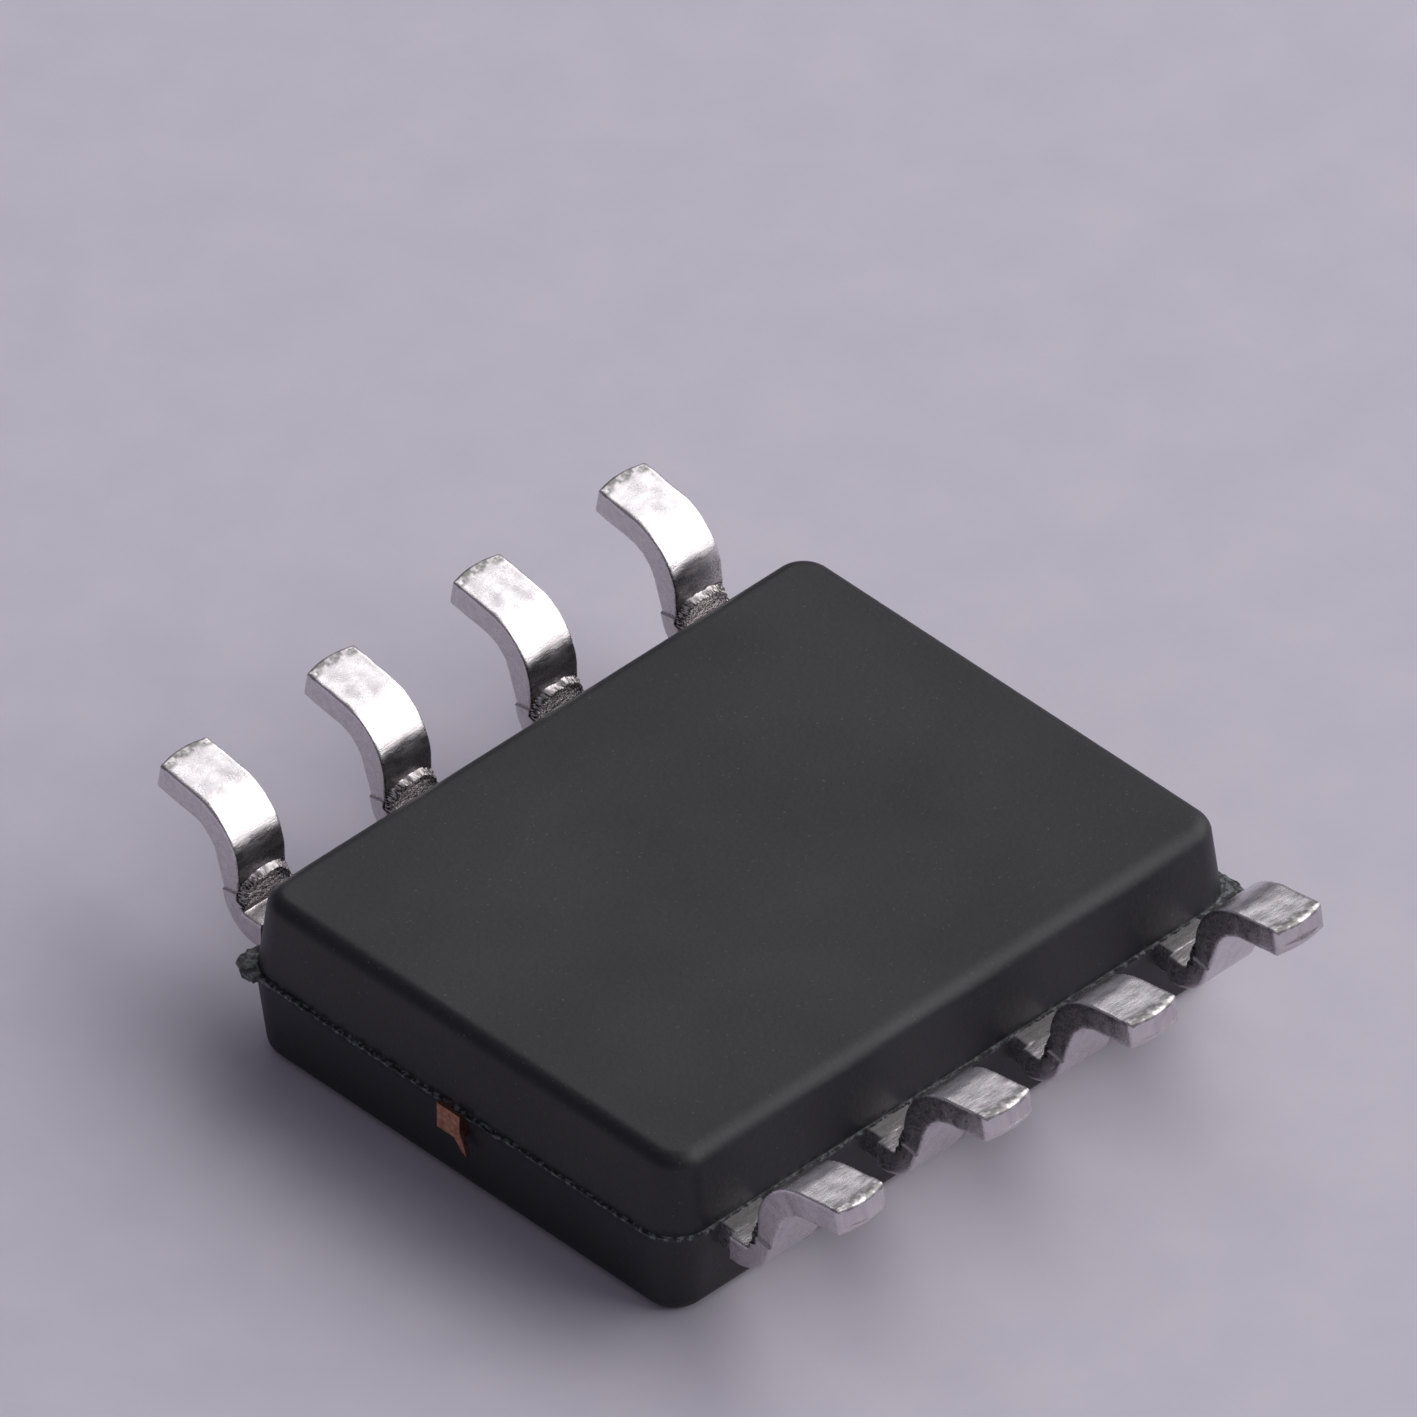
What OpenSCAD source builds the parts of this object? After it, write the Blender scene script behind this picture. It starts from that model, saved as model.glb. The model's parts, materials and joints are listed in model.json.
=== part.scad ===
// Eight-lead small-outline package, lying on its marked face with the feet up.
// X runs along the two rows of leads, Y across them, and Z points out of the belly.
// The origin is the middle of the marked face.

/* [Body] */
// Length along the rows of leads, at the parting line
body_length = 4.96; // [4.80:0.02:5.00]
// Width across the rows, at the parting line
body_width = 3.90; // [3.80:0.02:4.00]
// Height from the marked face to the belly
body_height = 1.25; // [1.25:0.01:1.45]
// Height of the parting line above the marked face
parting_height = 0.68; // [0.66:0.01:0.74]
// Draft of the four sides in degrees
draft = 7; // [5:0.5:9]
// Radius of the upright corners at the parting line
corner_radius = 0.30; // [0.26:0.01:0.36]
// Radius of the edges round the belly and round the marked face
edge_radius = 0.12; // [0.08:0.01:0.14]
// How far the belly half stands back from the marked half, where the two mould halves miss each other
mould_step = 0.02; // [0.01:0.005:0.03]
// How far the thin flash stands out along the parting line
flash_out = 0.03; // [0.01:0.005:0.05]
// Thickness of that flash
flash_thick = 0.03; // [0.02:0.005:0.05]
// Thickness of the two vent stubs broken off at opposite corners
vent_thick = 0.08; // [0.05:0.01:0.10]
// Height of the bevel that marks the side of leads 1 to 4
bevel_height = 0.15; // [0.10:0.01:0.25]
// Width of that bevel on the marked face
bevel_width = 0.25; // [0.15:0.01:0.35]
// Diameter of the dimple beside lead 1
dimple_diameter = 0.60; // [0.40:0.05:0.80]
// Depth of that dimple
dimple_depth = 0.05; // [0.03:0.01:0.10]

/* [Leads] */
// Distance from one lead to the next in a row
pitch = 1.27; // [1.24:0.01:1.30]
// Width of a lead from the dam bar cut to the toe
lead_width = 0.41; // [0.36:0.01:0.46]
// Thickness of the lead frame
lead_thick = 0.19; // [0.15:0.01:0.20]
// Span over the toes of both rows
lead_span = 6.12; // [6.00:0.02:6.20]
// Height of the toes over the belly
standoff = 0.18; // [0.10:0.01:0.25]
// Straight length of a foot
foot_length = 0.35; // [0.30:0.01:0.38]
// Slope of a foot in degrees, toe highest
foot_angle = 9; // [4:1:10]
// Slope of the side of the riser that faces the body, in degrees
riser_angle = 88; // [84:1:90]
// Slope of the other side in degrees, less steep, so that the lead is thinnest at the bend next to the body
back_angle = 73; // [72:1:78]
// Inside radius of the bend next to the body
root_radius = 0.08; // [0.06:0.01:0.09]
// Outside radius of the same bend
root_back_radius = 0.30; // [0.26:0.01:0.32]
// Inside radius of the bend next to the foot
foot_radius = 0.27; // [0.24:0.01:0.28]
// Radius of the edges and corners of the toe
toe_radius = 0.03; // [0.01:0.005:0.05]
// Radius of the crowned end of the toe, seen from the belly
toe_crown = 0.55; // [0.50:0.05:1.50]
// Width of a lead between the body and the cut dam bar
neck_width = 0.36; // [0.32:0.01:0.36]
// Distance from the body to the cut dam bar
dam_bar_gap = 0.13; // [0.10:0.01:0.14]
// Height of the top of the cut dam bar over the parting line, once the lead is bent
dam_bar_rise = 0.12; // [0.08:0.01:0.14]
// How far the cut ends of the dam bar stand out of a lead
dam_bar_stub = 0.02; // [0.010:0.005:0.030]
// Height of the ridge that the forming tool wiped up across the riser, over the parting line
ridge_height = 0.21; // [0.18:0.01:0.24]
// How far that ridge stands out towards the body
ridge_out = 0.05; // [0.03:0.01:0.06]
// Radius of the two corners of its arch
ridge_corner = 0.15; // [0.10:0.01:0.17]

/* [Lead frame inside] */
// Length of the die pad
pad_length = 2.40; // [2.20:0.02:2.50]
// Width of the die pad
pad_width = 2.24; // [2.10:0.02:2.30]
// How far the pad is set towards the belly from the plane of the leads
pad_downset = 0.20; // [0.16:0.01:0.22]
// Gap from the pad to the leads round it
pad_gap = 0.24; // [0.20:0.01:0.28]
// Width of the two tie bars
tie_width = 0.20; // [0.16:0.01:0.26]
// How far the cut tie bars stand out of the body
tie_stub = 0.05; // [0.04:0.01:0.08]
// Length of the burr that hangs from the cut end of a tie bar
tie_burr = 0.10; // [0.04:0.01:0.14]
// Width of a lead inside the body
inner_width = 0.46; // [0.42:0.01:0.50]
// Diameter of the hole that locks a corner lead in the plastic
lock_hole = 0.18; // [0.12:0.01:0.20]
// Length of the bond land at the inner end of a lead
land_length = 0.40; // [0.34:0.01:0.44]

/* [Die and wires] */
// Length of the silicon die
die_length = 1.60; // [1.20:0.05:1.90]
// Width of the silicon die
die_width = 1.30; // [1.00:0.05:1.50]
// Thickness of the silicon die
die_thick = 0.25; // [0.20:0.01:0.28]
// Thickness of the glue under the die
glue_thick = 0.02; // [0.01:0.005:0.03]
// Width of the glue seen round the die
glue_rim = 0.03; // [0.02:0.01:0.06]
// Diameter of a bond wire
wire_diameter = 0.033; // [0.025:0.001:0.038]
// Height of a wire's loop over the die
loop_height = 0.13; // [0.10:0.01:0.15]
// Diameter of the ball at the die end of a wire
ball_diameter = 0.08; // [0.06:0.005:0.10]
// Height of that ball
ball_height = 0.02; // [0.015:0.005:0.03]

/* [Hidden] */
PIN_COUNT = 8;
$fn = 48;

ROW_COUNT = PIN_COUNT / 2;
EPOXY = "#2b2c35";
TIN = "#d6d2d4";
COPPER = "#b87b52";
SILICON = "#5d6270";
GLUE = "#8f8f8c";
GOLD = "#d9b24a";

// Angle between two points of a drawn arc
ARC_STEP = 8;
// Reach of a vent stub along both sides of its corner, and how far it stands out
VENT_REACH = 0.34;
VENT_OUT = 0.06;
// Height of the crumb of flash on the shoulder of a corner lead, and how far it stands out
CRUMB_HEIGHT = 0.02;
CRUMB_OUT = 0.06;
// Radius of the crest of the ridge on the riser
CREST_RADIUS = 0.015;
// Thickness of the burr on a tie bar
BURR_THICK = 0.03;
// Depth inside the body at which a lead grows from neck to inner width
NECK_DEPTH = 0.14;
// Height and length of the tie bars' bends
TIE_FLAT = 0.10;
// Bond points, as shares of half the die's length and width
BOND_MIDDLE = [0.55, 0.86];
BOND_CORNER = [0.86, 0.60];
// Sides of a wire, and the disc that its stitch end is pressed to
WIRE_SIDES = 8;
STITCH_HEIGHT = 0.012;

half_length = body_length / 2;
half_width = body_width / 2;
lead_bottom = parting_height - lead_thick;
seat_height = body_height + standoff;
pad_bottom = lead_bottom + pad_downset;
die_top = pad_bottom - glue_thick;
die_bottom = die_top - die_thick;
corner_row = (ROW_COUNT - 1) / 2 * pitch;
dam_bar_start = half_width + dam_bar_gap;

// Points on an arc round c from angle a to angle b
function arc(c, r, a, b) =
    let (steps = max(1, ceil(abs(b - a) / ARC_STEP)))
    [for (i = [0 : steps]) c + r * [cos(a + (b - a) * i / steps), sin(a + (b - a) * i / steps)]];

function reversed(list) = [for (i = [len(list) - 1 : -1 : 0]) list[i]];

// A list of points mirrored left to right
function flipped(list) = [for (p = reversed(list)) [-p.x, p.y]];

// Section through one side of the body: x grows outwards from the axis of the upright corners, y is height
side_section = let (
    low = corner_radius - parting_height * tan(draft),
    high = corner_radius - mould_step - (body_height - parting_height) * tan(draft),
    inset = edge_radius * (1 / cos(draft) - tan(draft)),
    flash_edge = corner_radius + flash_out
) concat(
    [[0, 0]],
    arc([low - inset, edge_radius], edge_radius, -90, -draft),
    [
        [corner_radius - flash_thick * tan(draft), parting_height - flash_thick],
        [flash_edge, parting_height - flash_thick / 2],
        [flash_edge, parting_height],
        [corner_radius - mould_step, parting_height]
    ],
    arc([high - inset, body_height - edge_radius], edge_radius, draft, 90),
    [[0, body_height]]
);

// A straight side of the body, facing +X and centred on the corner axes
module straight_side(length) {
    rotate([90, 0, 0]) linear_extrude(length, center = true) polygon(side_section);
}

// The drafted block with rounded edges and the flash round its parting line
module moulded_block() {
    axis_x = half_length - corner_radius;
    axis_y = half_width - corner_radius;
    translate([-axis_x, -axis_y, 0]) cube([2 * axis_x, 2 * axis_y, body_height]);
    for (turn = [0, 180]) {
        rotate(turn) translate([axis_x, 0, 0]) straight_side(2 * axis_y);
        rotate(turn) translate([0, axis_y, 0]) rotate(90) straight_side(2 * axis_x);
    }
    for (x = [-1, 1], y = [-1, 1]) {
        start = x > 0 ? (y > 0 ? 0 : 270) : (y > 0 ? 90 : 180);
        translate([x * axis_x, y * axis_y, 0]) rotate(start) rotate_extrude(angle = 90) polygon(side_section);
    }
}

// Broken plastic web over the -X +Y corner, where air left the mould
module vent_stub() {
    outline = [
        [0, -VENT_REACH],
        [VENT_OUT / 2, -VENT_REACH / 2],
        [VENT_OUT / 3, -VENT_REACH / 3],
        [VENT_OUT, -VENT_REACH / 4],
        [VENT_OUT / 2, -VENT_REACH / 6],
        [VENT_OUT / 3, -VENT_OUT / 3],
        [-VENT_OUT / 2, 0],
        [-VENT_OUT, -VENT_OUT],
        [-VENT_REACH / 2, -VENT_OUT],
        [-VENT_REACH, -VENT_REACH]
    ];
    mirror([1, 0, 0]) translate([half_length, half_width, parting_height - vent_thick])
        linear_extrude(vent_thick) polygon(outline);
}

// Flash left between the body and the cut dam bar, on the outer side of the -X lead of the +Y row
module shoulder_crumb() {
    outer = -corner_row - lead_width / 2;
    bottom = parting_height - vent_thick;
    shoulder = inner_root.x - half_width;
    translate([outer, half_width, bottom]) linear_extrude(vent_thick + CRUMB_HEIGHT) polygon([
        [-CRUMB_OUT / 2, -NECK_DEPTH],
        [-CRUMB_OUT, shoulder / 4],
        [-0.7 * CRUMB_OUT, 0.45 * shoulder],
        [CRUMB_OUT / 3, 0.35 * shoulder],
        [CRUMB_OUT, 0.45 * shoulder],
        [1.5 * CRUMB_OUT, shoulder / 8],
        [2 * CRUMB_OUT, -NECK_DEPTH]
    ]);
}

// Bevel along the marked face on the side of leads 1 to 4
module index_bevel() {
    edge = half_width - parting_height * tan(draft);
    rotate([90, 0, 90]) linear_extrude(2 * body_length, center = true) polygon([
        [-edge + bevel_width, 0],
        [-edge - bevel_width, 2 * bevel_height],
        [-edge - 2 * bevel_width, -bevel_height],
        [-edge + bevel_width, -bevel_height]
    ]);
}

module index_dimple() {
    inset = bevel_width + dimple_diameter;
    translate([half_length - inset, -half_width + inset, 0])
        cylinder(d = dimple_diameter, h = 2 * dimple_depth, center = true);
}

module body() {
    color(EPOXY) difference() {
        union() {
            moulded_block();
            for (turn = [0, 180]) rotate(turn) {
                vent_stub();
                shoulder_crumb();
            }
        }
        index_bevel();
        index_dimple();
        for (n = [1 : PIN_COUNT]) {
            lead(n);
            bond_wire(n);
        }
        die_pad();
        die_attach();
        die();
    }
}

// Side view of a lead of the +Y row: x is the distance from the middle of the package, y is height
foot_along = [cos(foot_angle), sin(foot_angle)];
foot_across = [-sin(foot_angle), cos(foot_angle)];
foot_bend = foot_radius + lead_thick;
toe = [lead_span / 2 - lead_thick * sin(foot_angle), seat_height];
foot_centre = toe - foot_length * foot_along - foot_bend * foot_across;

// Centre of a root bend of radius r that leaves height z and rises at an angle into a foot bend of radius bend
function root_centre(r, z, angle, bend) =
    let (rise = foot_centre.y - z - r + (bend + r) * cos(angle))
    [foot_centre.x - (bend + r) * sin(angle) - rise * cos(angle) / sin(angle), z + r];

inner_root = root_centre(root_radius, parting_height, riser_angle, foot_bend);
back_root = root_centre(root_back_radius, lead_bottom, back_angle, foot_radius);
riser_face = inner_root.x + root_radius * sin(riser_angle);

lead_section = let (
    toe_top = toe - toe_radius * (foot_along + foot_across),
    toe_low = toe - lead_thick * foot_across - toe_radius * (foot_along - foot_across)
) concat(
    [[0, parting_height]],
    arc(inner_root, root_radius, -90, riser_angle - 90),
    arc(foot_centre, foot_bend, riser_angle + 90, foot_angle + 90),
    arc(toe_top, toe_radius, foot_angle + 90, foot_angle),
    arc(toe_low, toe_radius, foot_angle, foot_angle - 90),
    arc(foot_centre, foot_radius, foot_angle + 90, back_angle + 90),
    arc(back_root, root_back_radius, back_angle - 90, -90),
    [[0, lead_bottom]]
);

// Right-hand edge of a lead seen from the belly, from the crowned toe to where the lead has its inner width
lead_edge = let (
    corner_x = lead_width / 2 - toe_radius,
    crown = asin(corner_x / (toe_crown - toe_radius)),
    corner = [corner_x, lead_span / 2 - toe_crown + (toe_crown - toe_radius) * cos(crown)]
) concat(
    arc([0, lead_span / 2 - toe_crown], toe_crown, 90, 90 - crown),
    arc(corner, toe_radius, 90 - crown, 0),
    [
        [lead_width / 2, dam_bar_start],
        [neck_width / 2, dam_bar_start],
        [neck_width / 2, half_width - NECK_DEPTH],
        [inner_width / 2, half_width - NECK_DEPTH - (inner_width - neck_width) / 2]
    ]
);

// Side view of the ridge on the riser, from the root bend up to its crest and back into the riser
ridge_section = let (
    top = parting_height + ridge_height,
    crest = [riser_face - ridge_out + CREST_RADIUS, top - CREST_RADIUS]
) concat(
    [[inner_root.x + root_radius / 2, parting_height - lead_thick / 4]],
    arc(crest, CREST_RADIUS, 190, 60),
    [
        [riser_face + CREST_RADIUS, top + CREST_RADIUS],
        [riser_face + lead_thick / 4, parting_height]
    ]
);

// The ridge seen from the body: an arch across the whole lead
ridge_arch = let (
    side = lead_width / 2,
    corner = [side - ridge_corner, parting_height + ridge_height - ridge_corner]
) concat([[side, 0]], arc(corner, ridge_corner, 0, 90));

// Inner ends, from the right-hand edge to the left-hand one: a middle lead stops short of the pad
land_end = pad_width / 2 + pad_gap;
middle_end = [[inner_width / 2, land_end], [-inner_width / 2, land_end]];

// A corner lead passes the pad's corner and turns its land to the left, towards the pad
land_left = pad_length / 2 + pad_gap - corner_row;
land_top = pad_width / 2;
corner_end = [
    [inner_width / 2, land_top - land_length],
    [land_left, land_top - land_length],
    [land_left, land_top],
    [-inner_width / 2, land_top - inner_width / 2 - land_left]
];

// A side view drawn out across the lead
module across_lead(width, section) {
    rotate([90, 0, 90]) linear_extrude(width, center = true) polygon(section);
}

// The cut dam bar, bent with the lead
module dam_bar_ends() {
    width = lead_width + 2 * dam_bar_stub;
    intersection() {
        across_lead(width, lead_section);
        translate([-width / 2, dam_bar_start, 0]) cube([width, lead_span, parting_height + dam_bar_rise]);
    }
}

module form_ridge() {
    intersection() {
        across_lead(lead_width, ridge_section);
        translate([0, lead_span, 0]) rotate([90, 0, 0]) linear_extrude(lead_span)
            polygon(concat(ridge_arch, flipped(ridge_arch)));
    }
}

module lead_blank(inner_end) {
    intersection() {
        across_lead(2 * lead_span, lead_section);
        linear_extrude(2 * seat_height) polygon(concat(lead_edge, inner_end, flipped(lead_edge)));
    }
    dam_bar_ends();
    form_ridge();
}

module corner_lead() {
    hole_y = (land_top + half_width) / 2;
    difference() {
        lead_blank(corner_end);
        translate([0, hole_y, lead_bottom]) cylinder(d = lock_hole, h = 3 * lead_thick, center = true);
    }
}

// Leads 1 to 4 run along the -Y row towards -X, and 5 to 8 back along the +Y row
function row_sign(n) = n <= ROW_COUNT ? -1 : 1;
function row_place(n) =
    let (k = n <= ROW_COUNT ? ROW_COUNT - n : n - ROW_COUNT - 1)
    (k - (ROW_COUNT - 1) / 2) * pitch;
function is_corner(n) = abs(row_place(n)) > corner_row - pitch / 2;

module lead(n) {
    x = row_place(n);
    side = x > 0 ? 0 : 1;
    color(TIN) mirror([0, row_sign(n) > 0 ? 0 : 1, 0]) mirror([side, 0, 0]) translate([abs(x), 0, 0]) {
        if (is_corner(n)) corner_lead();
        else union() lead_blank(middle_end);
    }
}

// Side view of one tie bar: from the pad it bends back to the plane of the leads and runs out of the body
module tie_bar() {
    bend = pad_length / 2 + TIE_FLAT;
    tip = half_length + tie_stub;
    top = pad_bottom + lead_thick;
    rotate([90, 0, 0]) linear_extrude(tie_width, center = true) polygon([
        [0, pad_bottom],
        [bend, pad_bottom],
        [bend + pad_downset, lead_bottom],
        [tip, lead_bottom],
        [tip, parting_height],
        [bend + pad_downset + TIE_FLAT / 2, parting_height],
        [bend + TIE_FLAT / 2, top],
        [0, top]
    ]);
}

// Sliver that hangs from the cut end of a tie bar, on its -Y side
module cut_burr() {
    foot = lead_bottom + lead_thick / 3;
    start = half_length + tie_stub - BURR_THICK;
    translate([start, 0, 0]) rotate([90, 0, 90]) linear_extrude(BURR_THICK) polygon([
        [-tie_width / 2, foot],
        [-0.7 * tie_width, lead_bottom - tie_burr / 3],
        [-0.8 * tie_width, lead_bottom - tie_burr],
        [-0.6 * tie_width, lead_bottom - 0.8 * tie_burr],
        [-tie_width / 4, lead_bottom],
        [-tie_width / 4, foot]
    ]);
}

module die_pad() {
    color(COPPER) union() {
        translate([-pad_length / 2, -pad_width / 2, pad_bottom])
            cube([pad_length, pad_width, lead_thick]);
        for (side = [0, 1]) mirror([side, 0, 0]) {
            tie_bar();
            cut_burr();
        }
    }
}

module die_attach() {
    size = [die_length + 2 * glue_rim, die_width + 2 * glue_rim, glue_thick];
    color(GLUE) translate([-size.x / 2, -size.y / 2, die_top]) cube(size);
}

module die() {
    color(SILICON) translate([-die_length / 2, -die_width / 2, die_bottom])
        cube([die_length, die_width, die_thick]);
}

// Points of one wire in its own upright plane: x runs to the lead, y grows from the die to the marked face
function wire_path(reach, land_drop) = let (r = wire_diameter / 2) [
    [0, ball_height / 2],
    [0, loop_height / 2],
    [0.3 * loop_height, 0.9 * loop_height],
    [loop_height, loop_height],
    [reach / 2, 0.9 * loop_height],
    [reach - 2 * wire_diameter, r - land_drop + wire_diameter / 2],
    [reach, r - land_drop]
];

function unit(v) = v / norm(v);

// Direction across the path at each point, long enough that the wire keeps its width round a corner
function across_path(path, i) = let (
    before = unit(path[max(i, 1)] - path[max(i, 1) - 1]),
    after = unit(path[min(i, len(path) - 2) + 1] - path[min(i, len(path) - 2)]),
    middle = unit(before + after)
) [-middle.y, middle.x] / (middle * after);

// A round wire swept along its path; to is the direction of its plane
module swept_wire(path, to) {
    r = wire_diameter / 2;
    rings = [
        for (i = [0 : len(path) - 1], k = [0 : WIRE_SIDES - 1])
            let (
                angle = 360 * (k + 0.5) / WIRE_SIDES,
                p = path[i] + r * sin(angle) * across_path(path, i)
            )
            [p.x * to.x - r * cos(angle) * to.y, p.x * to.y + r * cos(angle) * to.x, -p.y]
    ];
    skin = [
        for (i = [0 : len(path) - 2], k = [0 : WIRE_SIDES - 1])
            let (a = i * WIRE_SIDES + k, b = i * WIRE_SIDES + (k + 1) % WIRE_SIDES)
            [a, b, b + WIRE_SIDES, a + WIRE_SIDES]
    ];
    last = (len(path) - 1) * WIRE_SIDES;
    caps = [[for (k = [WIRE_SIDES - 1 : -1 : 0]) k], [for (k = [0 : WIRE_SIDES - 1]) last + k]];
    polyhedron(rings, concat(skin, caps));
}

// Bond point on the die and on the land, for a lead in the +X +Y quarter
function die_bond(corner) =
    let (share = corner ? BOND_CORNER : BOND_MIDDLE) [die_length / 2 * share.x, die_width / 2 * share.y];
function land_bond(corner) = corner
    ? [corner_row + land_left + inner_width / 3, land_top - land_length / 2]
    : [corner_row - pitch, land_end + land_length / 2];

module bond_wire(n) {
    from = die_bond(is_corner(n));
    step = land_bond(is_corner(n)) - from;
    reach = norm(step);
    side = row_place(n) > 0 ? 0 : 1;
    color(GOLD) mirror([0, row_sign(n) > 0 ? 0 : 1, 0]) mirror([side, 0, 0])
        translate([from.x, from.y, die_bottom]) union() {
            translate([0, 0, -ball_height]) cylinder(d = ball_diameter, h = ball_height);
            swept_wire(wire_path(reach, lead_bottom - die_bottom), unit(step));
            translate([step.x, step.y, lead_bottom - die_bottom - STITCH_HEIGHT])
                cylinder(d = ball_diameter, h = STITCH_HEIGHT);
        }
}

body();
for (n = [1 : PIN_COUNT]) lead(n);
die_pad();
die_attach();
die();
for (n = [1 : PIN_COUNT]) bond_wire(n);
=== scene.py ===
import json
import math

import bmesh
import bpy
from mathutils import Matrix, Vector, noise


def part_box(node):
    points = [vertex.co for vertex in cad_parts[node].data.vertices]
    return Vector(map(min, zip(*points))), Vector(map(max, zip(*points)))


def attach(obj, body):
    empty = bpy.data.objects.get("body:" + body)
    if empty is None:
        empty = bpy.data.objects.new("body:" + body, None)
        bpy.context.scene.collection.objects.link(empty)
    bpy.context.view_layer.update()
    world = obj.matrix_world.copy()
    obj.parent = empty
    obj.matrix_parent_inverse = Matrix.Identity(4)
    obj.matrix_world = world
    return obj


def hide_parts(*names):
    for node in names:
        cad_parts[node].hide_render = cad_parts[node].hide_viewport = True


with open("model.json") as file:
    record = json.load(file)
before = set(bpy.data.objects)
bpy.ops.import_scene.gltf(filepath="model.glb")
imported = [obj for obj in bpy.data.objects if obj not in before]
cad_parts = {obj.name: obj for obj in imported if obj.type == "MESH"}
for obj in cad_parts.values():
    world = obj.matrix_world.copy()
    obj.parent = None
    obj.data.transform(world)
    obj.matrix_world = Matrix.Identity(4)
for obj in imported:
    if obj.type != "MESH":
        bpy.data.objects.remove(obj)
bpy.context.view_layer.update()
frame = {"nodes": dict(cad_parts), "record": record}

# Every size below is in millimetres, as on a package drawing, and this turns it into metres.
MM = 0.001


# ---------------------------------------------------------------- colours, nodes and meshes


def linear(code):
    """An sRGB hex colour as the linear RGBA that a shader takes."""
    parts = [int(code[i : i + 2], 16) / 255 for i in (1, 3, 5)]
    return [p / 12.92 if p <= 0.04045 else ((p + 0.055) / 1.055) ** 2.4 for p in parts] + [1.0]


def node(tree, kind, inputs=(), **settings):
    """Adds a shader node; an input is linked if it is a socket and set if it is a value."""
    made = tree.nodes.new(kind)
    for name, value in settings.items():
        setattr(made, name, value)
    for name, value in dict(inputs).items():
        if isinstance(value, bpy.types.NodeSocket):
            tree.links.new(value, made.inputs[name])
        else:
            made.inputs[name].default_value = value
    return made


def new_material(name):
    made = bpy.data.materials.new(name)
    made.use_nodes = True
    made.node_tree.nodes.clear()
    return made, made.node_tree


def ramp(tree, value, stops, interpolation="LINEAR"):
    """Colour at each position of a value; a stop's colour is a hex code or a grey level."""
    made = node(tree, "ShaderNodeValToRGB", {"Fac": value})
    made.color_ramp.interpolation = interpolation
    while len(made.color_ramp.elements) < len(stops):
        made.color_ramp.elements.new(0.5)
    for element, (position, colour) in zip(made.color_ramp.elements, stops):
        element.position = position
        element.color = linear(colour) if isinstance(colour, str) else [colour] * 3 + [1.0]
    return made.outputs["Color"]


def step(tree, value, low, high):
    """0 below low, 1 above high, smooth between; low above high turns it round."""
    inputs = {"Value": value, "From Min": low, "From Max": high}
    return node(tree, "ShaderNodeMapRange", inputs, interpolation_type="SMOOTHSTEP").outputs["Result"]


def math_node(tree, operation, a, b=0.0):
    return node(tree, "ShaderNodeMath", {0: a, 1: b}, operation=operation).outputs[0]


def mixed(tree, share, a, b):
    """Colour a where share is 0 and colour b where it is 1."""
    return node(tree, "ShaderNodeMix", {0: share, 6: a, 7: b}, data_type="RGBA").outputs[2]


def cloud(tree, where, size, detail=2.0, roughness=0.5, stretch=None):
    """Noise from 0 to 1 whose lumps are about size across, in the units of where."""
    if stretch:
        where = node(tree, "ShaderNodeVectorMath", {0: where, 1: stretch}, operation="MULTIPLY").outputs[0]
    inputs = {"Vector": where, "Scale": 1 / size, "Detail": detail, "Roughness": roughness}
    return node(tree, "ShaderNodeTexNoise", inputs).outputs["Fac"]


def finish_with(tree, **sockets):
    """Ends a material with its one shader; a socket's spaces are written as underscores."""
    inputs = {title.replace("_", " "): value for title, value in sockets.items()}
    shader = node(tree, "ShaderNodeBsdfPrincipled", inputs)
    node(tree, "ShaderNodeOutputMaterial", {"Surface": shader.outputs[0]})


def bumped(tree, height, strength, rise):
    """A normal from a height from 0 to 1 that stands for a rise in millimetres."""
    inputs = {"Strength": strength, "Distance": rise * MM, "Height": height}
    return node(tree, "ShaderNodeBump", inputs).outputs[0]


def piece(name, points, faces, material, smooth_angle=40, attributes=()):
    """A mesh piece from points in millimetres, riding on the package's one body."""
    mesh = bpy.data.meshes.new(name)
    mesh.from_pydata([(p[0] * MM, p[1] * MM, p[2] * MM) for p in points], [], faces)
    for title, values in dict(attributes).items():
        mesh.attributes.new(title, "FLOAT", "POINT").data.foreach_set("value", values)
    mesh.materials.append(material)
    mesh.validate()
    work = bmesh.new()
    work.from_mesh(mesh)
    bmesh.ops.recalc_face_normals(work, faces=work.faces)
    work.to_mesh(mesh)
    work.free()
    mesh.shade_smooth()
    mesh.set_sharp_from_angle(angle=math.radians(smooth_angle))
    made = bpy.data.objects.new(name, mesh)
    bpy.context.scene.collection.objects.link(made)
    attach(made, "root")
    return made


def wobble(x, y, z, size, seed):
    """Seeded noise from -1 to 1 with lumps about size across."""
    return noise.noise(Vector((x / size + 17.3 * seed, y / size - 5.1 * seed, z / size + 3.7 * seed)))


def arc(centre, radius, start, end, steps):
    """Points of an arc, from one angle to another in degrees."""
    turns = [math.radians(start + (end - start) * i / steps) for i in range(steps + 1)]
    return [(centre[0] + radius * math.cos(t), centre[1] + radius * math.sin(t)) for t in turns]


def line(start, end, steps):
    return [tuple(a + (b - a) * i / steps for a, b in zip(start, end)) for i in range(steps + 1)]


# ---------------------------------------------------------------- camera, floor and light

VIEW_AZIMUTH = -44.47
VIEW_ELEVATION = 39.98
VIEW_DISTANCE = 355.4
# The package lies low and to the left in the frame, so the camera aims past its middle.
VIEW_AIM = (1.3125, 1.6136, 0.70)
VIEW_LENS = 1446.8

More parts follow.
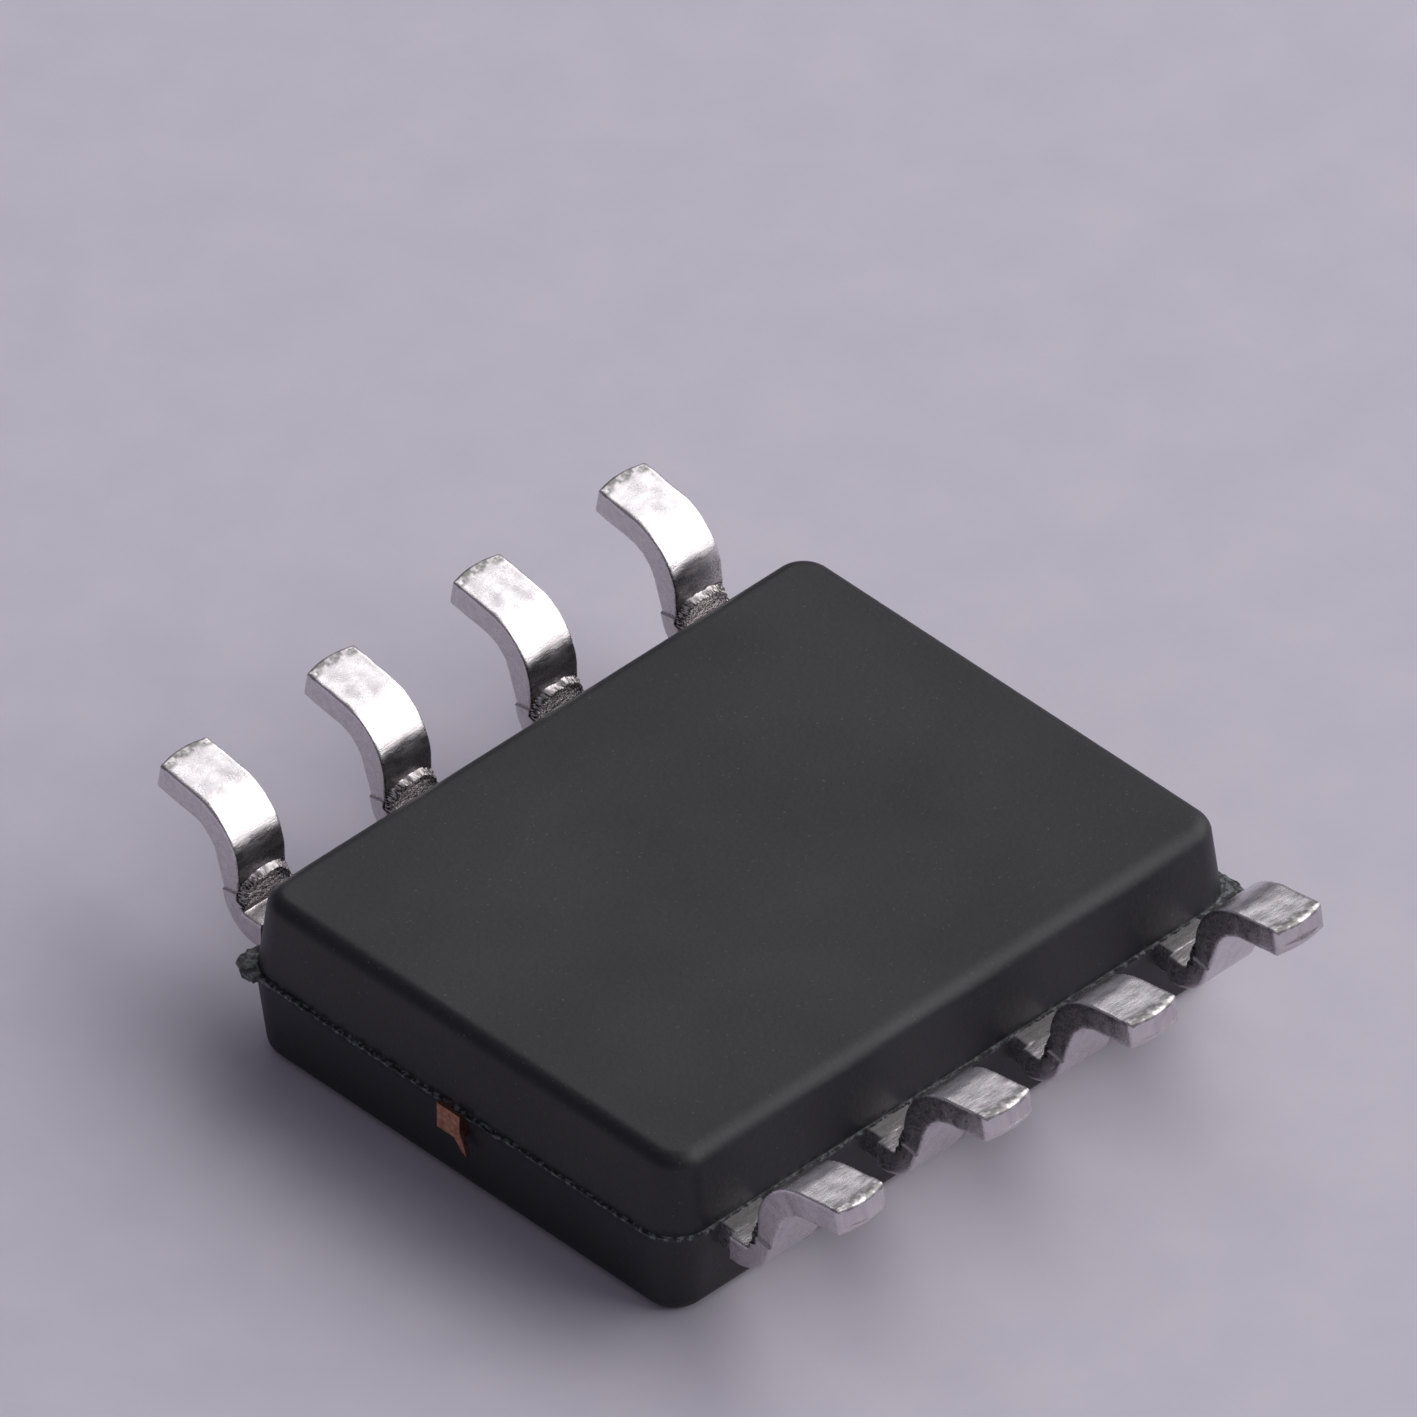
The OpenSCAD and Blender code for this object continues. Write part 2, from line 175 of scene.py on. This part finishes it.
turn, tilt = math.radians(VIEW_AZIMUTH), math.radians(VIEW_ELEVATION)
to_camera = Vector((math.sin(turn) * math.cos(tilt), -math.cos(turn) * math.cos(tilt), math.sin(tilt)))
camera_data = bpy.data.cameras.new("camera")
camera_data.lens = VIEW_LENS
camera_data.sensor_width = 36
camera_data.clip_start = 0.01
camera = bpy.data.objects.new("camera", camera_data)
camera.location = (Vector(VIEW_AIM) + VIEW_DISTANCE * to_camera) * MM
camera.rotation_euler = to_camera.to_track_quat("Z", "Y").to_euler()
bpy.context.scene.collection.objects.link(camera)
bpy.context.scene.camera = camera
bpy.context.scene.view_settings.view_transform = "Standard"

FLOOR_SIZE = 600.0


def paper():
    """Uncoated drawing paper: dull, with a faint lavender cast and a soft fibre mottle."""
    made, tree = new_material("uncoated_paper")
    where = node(tree, "ShaderNodeTexCoord").outputs["Object"]
    # Paper formation mottles over about 0.6 mm; the fibres are about 0.05 mm wide.
    mottle = cloud(tree, where, 0.6 * MM, 3.0)
    fibre = cloud(tree, where, 0.05 * MM, 4.0, 0.6)
    colour = ramp(tree, mottle, [(0.3, "#ddd8e6"), (0.7, "#e2ddea")])
    finish_with(tree, Base_Color=colour, Roughness=0.9, IOR=1.5, Normal=bumped(tree, fibre, 0.25, 0.004))
    return made


def lay_floor():
    half = FLOOR_SIZE / 2 * MM
    mesh = bpy.data.meshes.new("floor")
    corners = [(-half, -half, 0), (half, -half, 0), (half, half, 0), (-half, half, 0)]
    mesh.from_pydata(corners, [], [(0, 1, 2, 3)])
    mesh.materials.append(paper())
    floor = bpy.data.objects.new("floor", mesh)
    bpy.context.scene.collection.objects.link(floor)


def hang_light(name, azimuth, elevation, distance, size, radiance, colour="#ffffff"):
    """A softbox of one brightness that faces the package; its place is given as the camera's is."""
    data = bpy.data.lights.new(name, "AREA")
    data.shape = "RECTANGLE"
    data.size, data.size_y = size[0] * MM, size[1] * MM
    data.energy = radiance * math.pi * data.size * data.size_y
    data.color = linear(colour)[:3]
    a, e = math.radians(azimuth), math.radians(elevation)
    away = Vector((math.sin(a) * math.cos(e), -math.cos(a) * math.cos(e), math.sin(e)))
    lamp = bpy.data.objects.new(name, data)
    lamp.location = away * distance * MM
    lamp.rotation_euler = away.to_track_quat("Z", "Y").to_euler()
    bpy.context.scene.collection.objects.link(lamp)


lay_floor()
hang_light("window", azimuth=62, elevation=38, distance=200, size=(320, 200), radiance=2.0, colour="#fffdfb")
hang_light("back_panel", azimuth=132, elevation=43, distance=200, size=(110, 90), radiance=1.2)
world = bpy.data.worlds.new("studio")
world.use_nodes = True
ambient = world.node_tree.nodes["Background"].inputs
ambient["Color"].default_value = linear("#c9c6d6")
ambient["Strength"].default_value = 0.25
bpy.context.scene.world = world


# ---------------------------------------------------------------- finishes


def moulded_epoxy():
    """Epoxy moulding compound: matt blue-black resin, full of silica grains that show as fine specks."""
    made, tree = new_material("moulded_epoxy")
    where = node(tree, "ShaderNodeTexCoord").outputs["Object"]
    # The mould's spark-eroded texture is 0.02 to 0.03 mm; it is drawn at 0.035 mm to show.
    grain = cloud(tree, where, 0.035 * MM, 3.0, 0.6)
    # The resin's sheen drifts over about 1.3 mm, and a silica grain that shows is about 0.018 mm.
    haze = cloud(tree, where, 1.3 * MM, 2.0)
    speck = cloud(tree, where, 0.018 * MM, 0.0)
    flash = node(tree, "ShaderNodeAttribute", attribute_name="flash").outputs["Fac"]
    resin = ramp(tree, grain, [(0.30, "#131419"), (0.75, "#1d1e26")])
    pale = step(tree, speck, 0.80, 0.86)
    resin = mixed(tree, math_node(tree, "MULTIPLY", pale, 0.5), resin, linear("#5b5c66"))
    # Broken flash is paler and greyer than the resin, in crumbs of about 0.045 mm.
    crumbs = cloud(tree, where, 0.045 * MM, 2.0, 0.7)
    broken = math_node(tree, "MULTIPLY", flash, step(tree, crumbs, 0.46, 0.62))
    colour = mixed(tree, broken, resin, linear("#6c7275"))
    rough = ramp(tree, haze, [(0.35, 0.46), (0.65, 0.54)])
    finish_with(tree, Base_Color=colour, Roughness=rough, IOR=1.55, Normal=bumped(tree, grain, 0.5, 0.004))
    return made


# Where the lead's marks lie, in millimetres along a lead from its toe: a patch rubbed by the forming tool
# beside the toe, a painted reflection on the riser and painted shade under the ridge; each mark fades in
# from its first value to its second
TOE_RUBBED = (0.135, 0.085)
# Painted reflection of the dark body on the riser
RISER_REFLECTION_FROM, RISER_REFLECTION_TO = (0.83, 0.91), (1.06, 1.03)
# Painted shade under the ridge
RIDGE_SHADE_FROM, RIDGE_SHADE_TO = (1.04, 1.06), (1.27, 1.23)
# Depth below the belly side at which a lead's face gives way to its sheared side
FACE_FADE, SIDE_FADE = (0.022, 0.006), (0.010, 0.024)


def tin_plate():
    """Matt tin plate on stamped copper alloy: bright and satin, smeared where the forming tool rubbed it,
    with a painted reflection on the riser and painted shade under the ridge.
    """
    made, tree = new_material("tin_plate")
    run, across, depth = (
        node(tree, "ShaderNodeAttribute", attribute_name=title).outputs["Fac"]
        for title in ("run", "across", "depth")
    )
    where = node(tree, "ShaderNodeCombineXYZ", {0: across, 1: run, 2: depth}).outputs[0]

    def times(a, b):
        return math_node(tree, "MULTIPLY", a, b)

    def plus(a, b):
        return math_node(tree, "ADD", a, b)

    face = step(tree, depth, *FACE_FADE)
    side = step(tree, depth, *SIDE_FADE)
    # Tin grains are a few thousandths of a millimetre; they are drawn at 0.012 mm to show. The tool's
    # smears are about 0.05 mm along the lead and four times that across it.
    grain = cloud(tree, where, 0.012, 3.0, 0.65)
    smear = cloud(tree, where, 0.05, 3.0, 0.6, (0.25, 1.0, 1.0))
    blotch = cloud(tree, where, 0.07, 3.0, 0.6)
    colour = ramp(tree, blotch, [(0.25, "#d3ccd0"), (0.6, "#e7e2e4")])
    # Dark rubbed patch beside the toe
    toe = times(times(face, step(tree, run, *TOE_RUBBED)), step(tree, blotch, 0.36, 0.58))
    # Painted reflection: grey grain on the riser, up to the ridge, standing in for the dark body that the
    # riser reflects
    riser = times(step(tree, run, *RISER_REFLECTION_FROM), step(tree, run, *RISER_REFLECTION_TO))
    riser_painted_reflection = times(times(riser, face), step(tree, grain, 0.40, 0.60))
    # Painted shade under the ridge, dark in grains
    painted_shade_under_ridge = times(times(step(tree, run, *RIDGE_SHADE_FROM), step(tree, run, *RIDGE_SHADE_TO)), face)
    colour = mixed(tree, times(toe, 0.8), colour, linear("#74736f"))
    # Painted reflection of the dark body on the riser
    colour = mixed(tree, times(riser_painted_reflection, 0.6), colour, linear("#6d6c69"))
    # Painted shade under the ridge
    colour = mixed(tree, times(painted_shade_under_ridge, step(tree, grain, 0.62, 0.42)), colour, linear("#3a322c"))
    colour = mixed(tree, times(side, 0.35), colour, linear("#b3a8af"))
    # The rubbed patch by the toe, the riser's painted reflection and the painted shade under the ridge are
    # made duller than the plate round them.
    plate = ramp(tree, smear, [(0.30, 0.20), (0.70, 0.34)])
    rough = plus(plate, times(plus(plus(toe, riser_painted_reflection), painted_shade_under_ridge), 0.16))
    relief = bumped(tree, plus(smear, times(grain, 0.5)), 0.5, 0.004)
    finish_with(tree, Base_Color=colour, Metallic=1.0, Roughness=rough, Normal=relief)
    return made


def plain_metal(name, light, dark, size, low, high):
    """A metal whose colour and roughness vary over lumps of one size."""
    made, tree = new_material(name)
    where = node(tree, "ShaderNodeTexCoord").outputs["Object"]
    lumps = cloud(tree, where, size * MM, 3.0, 0.6)
    colour = ramp(tree, lumps, [(0.3, dark), (0.7, light)])
    rough = ramp(tree, lumps, [(0.3, high), (0.7, low)])
    relief = bumped(tree, lumps, 0.3, 0.002)
    finish_with(tree, Base_Color=colour, Metallic=1.0, Roughness=rough, Normal=relief)
    return made


EPOXY = moulded_epoxy()
TIN = tin_plate()
# Stamped copper alloy: rolled, so its lumps are small; its cut ends show warm and pinkish.
COPPER = plain_metal("stamped_copper_alloy", "#d9a68c", "#a86a4e", 0.04, 0.28, 0.42)
# Silver-filled glue: grey, dull and grainy.
GLUE = plain_metal("silver_filled_glue", "#b5b4b0", "#8a8985", 0.02, 0.45, 0.6)
# Ground silicon: dark grey with a cool shine.
SILICON = plain_metal("ground_silicon", "#6f7480", "#4d525e", 0.05, 0.18, 0.3)
# Drawn gold wire: smooth and warm.
GOLD = plain_metal("drawn_gold_wire", "#e8bd62", "#d2a244", 0.02, 0.16, 0.24)


# ---------------------------------------------------------------- moulded body

BODY_LENGTH, BODY_WIDTH = 4.96, 3.90
BODY_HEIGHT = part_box("body")[1].z / MM
PARTING = 0.68
DRAFT = math.radians(7)
CORNER_RADIUS = 0.30
EDGE_RADIUS = 0.12
MOULD_STEP = 0.02
FLASH_OUT = 0.03
FLASH_THICK = 0.03
VENT_THICK = 0.08
# Spacing of the body's points along its sides, and steps round each of its corners
BODY_POINT = 0.02
CORNER_TURNS = 26
# How far a vent's broken web stands out of its corner, and the corners of the outline that have one
VENT_OUT = 0.115
VENT_CORNERS = (1, 3)
# Seeds of the ragged forms, a coarse and a fine one where there are two
FLASH_SEEDS, VENT_SEEDS = (1, 2), (3, 4)
FLASH_LIFT_SEED, VENT_LIFT_SEED, PARTING_SEED = 5, 6, 7


def outline(inset):
    """Points round the body at an inset from its parting line, with their outward directions and corners."""
    hx, hy = BODY_LENGTH / 2 - CORNER_RADIUS, BODY_WIDTH / 2 - CORNER_RADIUS
    radius = max(CORNER_RADIUS - inset, 0.01)
    grow = CORNER_RADIUS - inset - radius
    points = []
    for k, (sx, sy) in enumerate(((1, 1), (-1, 1), (-1, -1), (1, -1))):
        centre = (sx * (hx + grow), sy * (hy + grow))
        for i in range(CORNER_TURNS + 1):
            share = i / CORNER_TURNS
            angle = math.radians(90 * (k + share))
            out = (math.cos(angle), math.sin(angle))
            points.append((centre[0] + radius * out[0], centre[1] + radius * out[1], out, (k, share)))
        side = 2 * (hx if k % 2 == 0 else hy)
        steps = round(side / BODY_POINT)
        along = ((-1, 0), (0, -1), (1, 0), (0, 1))[k]
        start = points[-1]
        shrink = 1 + 2 * grow / side
        for i in range(1, steps):
            go = side * shrink * i / steps
            points.append((start[0] + along[0] * go, start[1] + along[1] * go, start[2], None))
    return points


def flash_reach(x, y):
    """How far the thin flash stands out, as a share of its greatest reach: most beside the vents."""
    coarse, fine = FLASH_SEEDS
    ragged = 0.55 + 0.45 * wobble(x, y, 0.0, 0.05, coarse) + 0.35 * wobble(x, y, 0.0, 0.016, fine)
    vented = 1.0 if x < -2.2 and y > -0.4 else 0.35
    if x > 2.2 and y < 0.4:
        vented = 0.8
    return max(0.12, min(1.0, ragged)) * vented


def vent_reach(corner):
    """How far the broken web of a vent stands out of its corner."""
    if corner is None or corner[0] not in VENT_CORNERS:
        return 0.0
    k, share = corner
    coarse, fine = VENT_SEEDS
    web = math.exp(-(((share - 0.5) / 0.26) ** 2))
    at = share * 0.5
    ragged = 1 + 0.30 * wobble(at, k, 0.0, 0.05, coarse) + 0.25 * wobble(at, k, 0.0, 0.018, fine)
    return VENT_OUT * web * ragged


def body_rings():
    """The stations of the body's profile, from marked face to belly: inset, height and flash part."""
    lean = math.tan(DRAFT)
    rounding = EDGE_RADIUS * (1 / math.cos(DRAFT) - lean)
    low_centre = PARTING * lean + rounding
    high_centre = MOULD_STEP + (BODY_HEIGHT - PARTING) * lean + rounding
    rings = [(low_centre + 0.08, 0.0, 0), (low_centre + 0.02, 0.0, 0)]
    for x, z in arc((0, EDGE_RADIUS), EDGE_RADIUS, -90, -7, 12):
        rings.append((low_centre - x, z, 0))
    top = PARTING - FLASH_THICK
    start = rings[-1]
    for i in range(1, 9):
        share = i / 8
        inset = start[0] + ((PARTING - top) * lean - start[0]) * share
        rings.append((inset, start[1] + (top - start[1]) * share, 0))
    rings += [(0.0, PARTING - 0.020, 1), (0.0, PARTING - 0.008, 2), (0.0, PARTING, 3)]
    rings += [(MOULD_STEP * 0.6, PARTING + 0.002, 4), (MOULD_STEP, PARTING + 0.006, 0)]
    upper = []
    for x, z in arc((0, BODY_HEIGHT - EDGE_RADIUS), EDGE_RADIUS, 7, 90, 12):
        upper.append((high_centre - x, z, 0))
    start, end = rings[-1], upper[0]
    for i in range(1, 8):
        share = i / 8
        inset = start[0] + (end[0] - start[0]) * share
        rings.append((inset, start[1] + (end[1] - start[1]) * share, 0))
    rings += upper
    rings += [(high_centre + 0.02, BODY_HEIGHT, 0), (high_centre + 0.08, BODY_HEIGHT, 0)]
    return rings


# How far each station of the flash stands out, as a share of the flash there
FLASH_SHARE = {1: 0.85, 2: 1.0, 3: 0.9, 4: 0.0}


def mould_body():
    """The moulding, lofted through its stations, with flash and vent webs pulled out at the parting line."""
    points, flash = [], []
    rings = body_rings()
    for inset, height, part in rings:
        ring = outline(inset)
        count = len(ring)
        for x, y, out, corner in ring:
            z, mask = height, 0.0
            if part:
                web = vent_reach(corner)
                go = max(FLASH_OUT * flash_reach(x, y), web) * FLASH_SHARE[part]
                x, y = x + out[0] * go, y + out[1] * go
                thick = max(FLASH_THICK * 0.6, VENT_THICK * min(1.0, web / 0.05))
                if part == 1:
                    z = PARTING - thick
                elif part == 2:
                    z = PARTING - thick * 0.35
                lift = 0.018 * wobble(x, y, part, 0.04, VENT_LIFT_SEED) if web > 0.02 else 0.0
                z += 0.006 * wobble(x, y, part, 0.03, FLASH_LIFT_SEED) + lift
                mask = 1.0
            elif abs(height - PARTING) < 0.05:
                z += 0.004 * wobble(x, y, 0.0, 0.04, PARTING_SEED)
            points.append((x, y, z))
            flash.append(mask)
    faces = []
    for i in range(len(rings) - 1):
        a, b = i * count, (i + 1) * count
        for j in range(count):
            k = (j + 1) % count
            faces.append((a + j, a + k, b + k, b + j))
    faces.append(tuple(reversed(range(count))))
    faces.append(tuple(range((len(rings) - 1) * count, len(rings) * count)))
    body = piece("moulded_body", points, faces, EPOXY, 50, {"flash": flash})
    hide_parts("body")


mould_body()


# ---------------------------------------------------------------- leads

LEAD_WIDTH, LEAD_THICK = 0.41, 0.19
SPAN = 6.12
SEAT_HEIGHT = BODY_HEIGHT + 0.18
FOOT_LENGTH, FOOT_ANGLE = 0.35, 9
RISER_ANGLE, BACK_ANGLE = 88, 73
ROOT_RADIUS, ROOT_BACK_RADIUS, FOOT_RADIUS = 0.08, 0.30, 0.27
TOE_RADIUS, TOE_CROWN = 0.03, 0.55
NECK_WIDTH, NECK_START = 0.36, 1.81
DAM_BAR_START, DAM_BAR_TOP, DAM_BAR_STUB = 2.08, 0.80, 0.018
RIDGE_TOP, RIDGE_OUT, RIDGE_CORNER = 0.89, 0.05, 0.15
INNER_WIDTH = 0.46
PAD_EDGE = (1.44, 1.36)
LAND_TOP, LAND_LENGTH = 1.12, 0.40
LOCK_HOLE, LOCK_HOLE_AT = 0.18, 1.535
# Place across the package's length of the leads at its four corners
OUTER_LEAD_X = 1.905
# Half the length over which the cut dam bar begins
DAM_BAR_CUT = 0.004
# Length from the toe over which its crown fades out
CROWN_REACH = 0.2
# Radius of the sheared edges along a lead
EDGE = 0.014
ACROSS_STEPS, SIDE_STEPS, CORNER_STEPS = 22, 8, 3
# Steps of the toe's rounded edge
TOE_STEPS = 5
# Seeds of a lead's uneven forms, to which its number is added
SIDE_SEED, CREST_SEED, RIDGE_FACE_SEED, SWELL_SEED = 20, 40, 60, 80


def section():
    """Matched points of the belly side and the marked side of a lead, from the body to the toe."""
    cos, sin = math.cos(math.radians(FOOT_ANGLE)), math.sin(math.radians(FOOT_ANGLE))
    along, over = (cos, sin), (-sin, cos)
    bend = FOOT_RADIUS + LEAD_THICK
    toe = (SPAN / 2 - LEAD_THICK * sin, SEAT_HEIGHT)
    foot = (toe[0] - FOOT_LENGTH * cos - bend * over[0], toe[1] - FOOT_LENGTH * sin - bend * over[1])
    low = PARTING - LEAD_THICK

    def root(r, z, angle, outer):
        c, s = math.cos(math.radians(angle)), math.sin(math.radians(angle))
        rise = foot[1] - z - r + (outer + r) * c
        return (foot[0] - (outer + r) * s - rise * c / s, z + r)

    inner = root(ROOT_RADIUS, PARTING, RISER_ANGLE, bend)
    back = root(ROOT_BACK_RADIUS, low, BACK_ANGLE, FOOT_RADIUS)
    r = TOE_RADIUS
    toe_top = (toe[0] - r * (along[0] + over[0]), toe[1] - r * (along[1] + over[1]))
    toe_low = tuple(toe[k] - LEAD_THICK * over[k] - r * (along[k] - over[k]) for k in (0, 1))
    belly, marked = [], []

    def add(a, b):
        skip = 1 if belly else 0
        belly.extend(a[skip:])
        marked.extend(b[skip:])

    before_cut, past_cut = DAM_BAR_START - DAM_BAR_CUT, DAM_BAR_START + DAM_BAR_CUT
    add(
        line((NECK_START, PARTING), (before_cut, PARTING), 14),
        line((NECK_START, low), (before_cut, low), 14),
    )
    add(line(belly[-1], (past_cut, PARTING), 2), line(marked[-1], (past_cut, low), 2))
    add(line(belly[-1], (inner[0], PARTING), 8), line(marked[-1], (back[0], low), 8))
    add(
        arc(inner, ROOT_RADIUS, -90, RISER_ANGLE - 90, 16),
        arc(back, ROOT_BACK_RADIUS, -90, BACK_ANGLE - 90, 16),
    )
    bend_belly = arc(foot, bend, RISER_ANGLE + 90, FOOT_ANGLE + 90, 40)
    bend_marked = arc(foot, FOOT_RADIUS, BACK_ANGLE + 90, FOOT_ANGLE + 90, 40)
    add(line(belly[-1], bend_belly[0], 34), line(marked[-1], bend_marked[0], 34))
    add(bend_belly, bend_marked)
    end_belly = arc(toe_top, r, FOOT_ANGLE + 90, FOOT_ANGLE, TOE_STEPS)
    end_marked = arc(toe_low, r, FOOT_ANGLE - 90, FOOT_ANGLE, TOE_STEPS)
    add(line(belly[-1], end_belly[0], 18), line(marked[-1], end_marked[0], 18))
    add(end_belly, end_marked)
    riser_face = inner[0] + ROOT_RADIUS * math.sin(math.radians(RISER_ANGLE))
    return belly, marked, riser_face, (along, toe_top)


BELLY, MARKED, RISER_FACE, TOE = section()
# Length along the belly side from the toe to each station
RUN = [0.0]
for before, after in zip(BELLY[::-1], BELLY[::-1][1:]):
    RUN.append(RUN[-1] + math.dist(before, after))
RUN.reverse()


def half_width(i):
    """Half the width of a lead at a station: neck, cut dam bar, then the full lead."""
    y, z = BELLY[i]
    if y < DAM_BAR_START:
        return NECK_WIDTH / 2
    if z < DAM_BAR_TOP:
        return LEAD_WIDTH / 2 + DAM_BAR_STUB
    return LEAD_WIDTH / 2


def ridge_height(x):
    """Height of the ridge's arch at a place across the lead."""
    out = max(0.0, abs(x) - (LEAD_WIDTH / 2 - RIDGE_CORNER))
    return RIDGE_TOP - RIDGE_CORNER + math.sqrt(max(0.0, RIDGE_CORNER**2 - out**2))


def ring_points(half, edge, thick):
    """Once round a lead: place across it and depth from its belly side, in millimetres."""
    points = []
    flat = half - edge
    for i in range(ACROSS_STEPS + 1):
        points.append((-flat + 2 * flat * i / ACROSS_STEPS, 0.0))
    for c, start in (((flat, edge), -90), ((flat, thick - edge), 0)):
        points += [(x, d) for x, d in arc(c, edge, start, start + 90, CORNER_STEPS)][1:]
        if start == -90:
            points += line(points[-1], (half, thick - edge), SIDE_STEPS)[1:]
    for i in range(1, ACROSS_STEPS + 1):
        points.append((flat - 2 * flat * i / ACROSS_STEPS, thick))
    for c, start in (((-flat, thick - edge), 90), ((-flat, edge), 180)):
        points += [(x, d) for x, d in arc(c, edge, start, start + 90, CORNER_STEPS)][1:]
        if start == 90:
            points += line(points[-1], (-half, edge), SIDE_STEPS)[1:]
    return points[:-1]


def form_lead(n, x_place, row, corner):
    """Lead n: its blank lofted along the section, with ridge and dam bar, and its land inside the body."""
    points, run, across, depth = [], [], [], []
    along, toe_top = TOE
    reach_corner = LEAD_WIDTH / 2 - TOE_RADIUS
    last = len(BELLY) - 1
    for i, (top, low) in enumerate(zip(BELLY, MARKED)):
        thick = math.dist(top, low)
        to_low = ((low[0] - top[0]) / thick, (low[1] - top[1]) / thick)
        half = half_width(i)
        past = (top[0] - toe_top[0]) * along[0] + (top[1] - toe_top[1]) * along[1]
        if i >= last - TOE_STEPS:
            half -= TOE_RADIUS - math.sqrt(max(0.0, TOE_RADIUS**2 - max(0.0, past) ** 2))
        edge = EDGE * (1 + 0.35 * wobble(RUN[i], 0.0, 0.0, 0.09, n)) if i else 0.0005
        ring = ring_points(half, edge, thick)
        count = len(ring)
        for x, d in ring:
            ragged = 1 + 0.012 * wobble(RUN[i], 0.0 if x < 0 else 9.0, 0.0, 0.12, n + SIDE_SEED)
            y, z = top[0] + to_low[0] * d, top[1] + to_low[1] * d
            face = max(0.0, 1 - d / 0.03)
            if face and 0.66 < top[1] and 1.0 < RUN[i] < 1.30:
                crest = ridge_height(x) + 0.012 * wobble(x, 0.0, 0.0, 0.05, n + CREST_SEED)
                share = max(0.0, min(1.0, (crest + 0.004 - z) / 0.012))
                uneven = 0.004 * wobble(x, z, 0.0, 0.03, n + RIDGE_FACE_SEED)
                ridge_face = RISER_FACE - RIDGE_OUT + uneven
                y -= face * share * max(0.0, y - ridge_face)
            if RUN[i] < CROWN_REACH:
                sag = TOE_CROWN - math.sqrt(TOE_CROWN**2 - min(abs(x), reach_corner) ** 2)
                pull = sag * max(0.0, 1 - RUN[i] / CROWN_REACH)
                y, z = y - along[0] * pull, z - along[1] * pull
            swells = i > 14 and RUN[i] > 0.05
            swell = 0.0025 * wobble(x, RUN[i], d, 0.10, n + SWELL_SEED) if swells else 0.0
            points.append((x * ragged, y - swell * to_low[0], z - swell * to_low[1]))
            run.append(RUN[i])
            across.append(x)
            depth.append(d)
    faces = []
    for i in range(last):
        a, b = i * count, (i + 1) * count
        for j in range(count):
            k = (j + 1) % count
            faces.append((a + j, a + k, b + k, b + j))
    # Toe end: one ring inside the last, then a flat face
    base = last * count
    middle = [sum(points[base + j][k] for j in range(count)) / count for k in range(3)]
    start = len(points)
    for j in range(count):
        points.append(tuple(middle[k] + 0.9 * (points[base + j][k] - middle[k]) for k in range(3)))
        run.append(-0.02)
        across.append(across[base + j])
        depth.append(0.09)
    for j in range(count):
        k = (j + 1) % count
        faces.append((base + j, base + k, start + k, start + j))
    faces.append(tuple(start + j for j in range(count)))
    add_land(points, faces, (run, across, depth), corner)
    flip = 1 if x_place > 0 or not corner else -1
    placed = [(x_place + flip * x, row * y, z) for x, y, z in points]
    attributes = {"run": run, "across": across, "depth": depth}
    made = piece(f"formed_lead_{n}", placed, faces, TIN, 35, attributes)
    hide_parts(f"lead_{n}")


def add_land(points, faces, extras, corner):
    """The flat inner end of a lead, grown from the first ring's sharp rectangle."""
    low = PARTING - LEAD_THICK
    a = ACROSS_STEPS
    side = CORNER_STEPS * 2 + SIDE_STEPS
    top_row = list(range(0, a + 1))
    right = list(range(a, a + side + 1))
    low_row = list(range(a + side, 2 * a + side + 1))
    left = list(range(2 * a + side, 2 * a + 2 * side)) + [0]
    inner = INNER_WIDTH / 2
    flare = NECK_START - (INNER_WIDTH - NECK_WIDTH) / 2
    if corner:
        land_left, land_low = PAD_EDGE[0] - OUTER_LEAD_X, LAND_TOP - LAND_LENGTH
        plan = [(inner, flare), (inner, land_low), (0.0, land_low), (land_left, land_low)]
        plan += [(land_left, LAND_TOP), (-inner, LAND_TOP - inner - land_left), (-inner, flare)]
    else:
        end = PAD_EDGE[1]
        plan = [(inner, flare), (inner, end), (0.0, end), (-inner, end), (-inner, flare)]

    def add(x, y, z):
        points.append((x, y, z))
        for values, value in zip(extras, (3.0, x, PARTING - z)):
            values.append(value)
        return len(points) - 1

    upper = [add(x, y, PARTING) for x, y in plan]
    lower = [add(x, y, low) for x, y in plan]
    for i in range(len(plan) - 1):
        faces.append((upper[i], lower[i], lower[i + 1], upper[i + 1]))
    faces.append((*right, lower[0], upper[0]))
    faces.append((*left, upper[-1], lower[-1]))
    middle = a // 2
    zero = next(i for i, p in enumerate(plan) if p[0] == 0.0)
    if not corner:
        faces.append((*top_row, *upper))
        faces.append((*low_row, *reversed(lower)))
        return
    turns = 24
    rim = []
    for z in (PARTING, low):
        rim.append([add(*p, z) for p in arc((0.0, LOCK_HOLE_AT), LOCK_HOLE / 2, 90, -270, turns)][:-1])
    half = turns // 2
    for k, (row, plan_ids) in enumerate(((top_row, upper), (low_row[::-1], lower))):
        near, far = rim[k][: half + 1], rim[k][half:] + rim[k][:1]
        right_part = row[middle:] + plan_ids[: zero + 1] + near[::-1]
        left_part = row[: middle + 1][::-1] + plan_ids[zero:][::-1] + far
        faces.append(tuple(right_part))
        faces.append(tuple(left_part))
    for j in range(turns):
        k = (j + 1) % turns
        faces.append((rim[0][j], rim[0][k], rim[1][k], rim[1][j]))


feet = {m["name"]: m for m in frame["record"]["mounts"]}
for n in range(1, 9):
    foot_at = feet[f"lead_{n}_solder_face"]["pos_m"]
    form_lead(n, foot_at[0] / MM, 1 if foot_at[1] > 0 else -1, n in (1, 4, 5, 8))


# ---------------------------------------------------------------- lead frame, die and wires inside

for title, finish in (("die_pad", COPPER), ("die_attach", GLUE), ("die", SILICON)):
    frame["nodes"][title].data.materials.clear()
    frame["nodes"][title].data.materials.append(finish)
for n in range(1, 9):
    wire = frame["nodes"][f"bond_wire_{n}"]
    wire.data.materials.clear()
    wire.data.materials.append(GOLD)
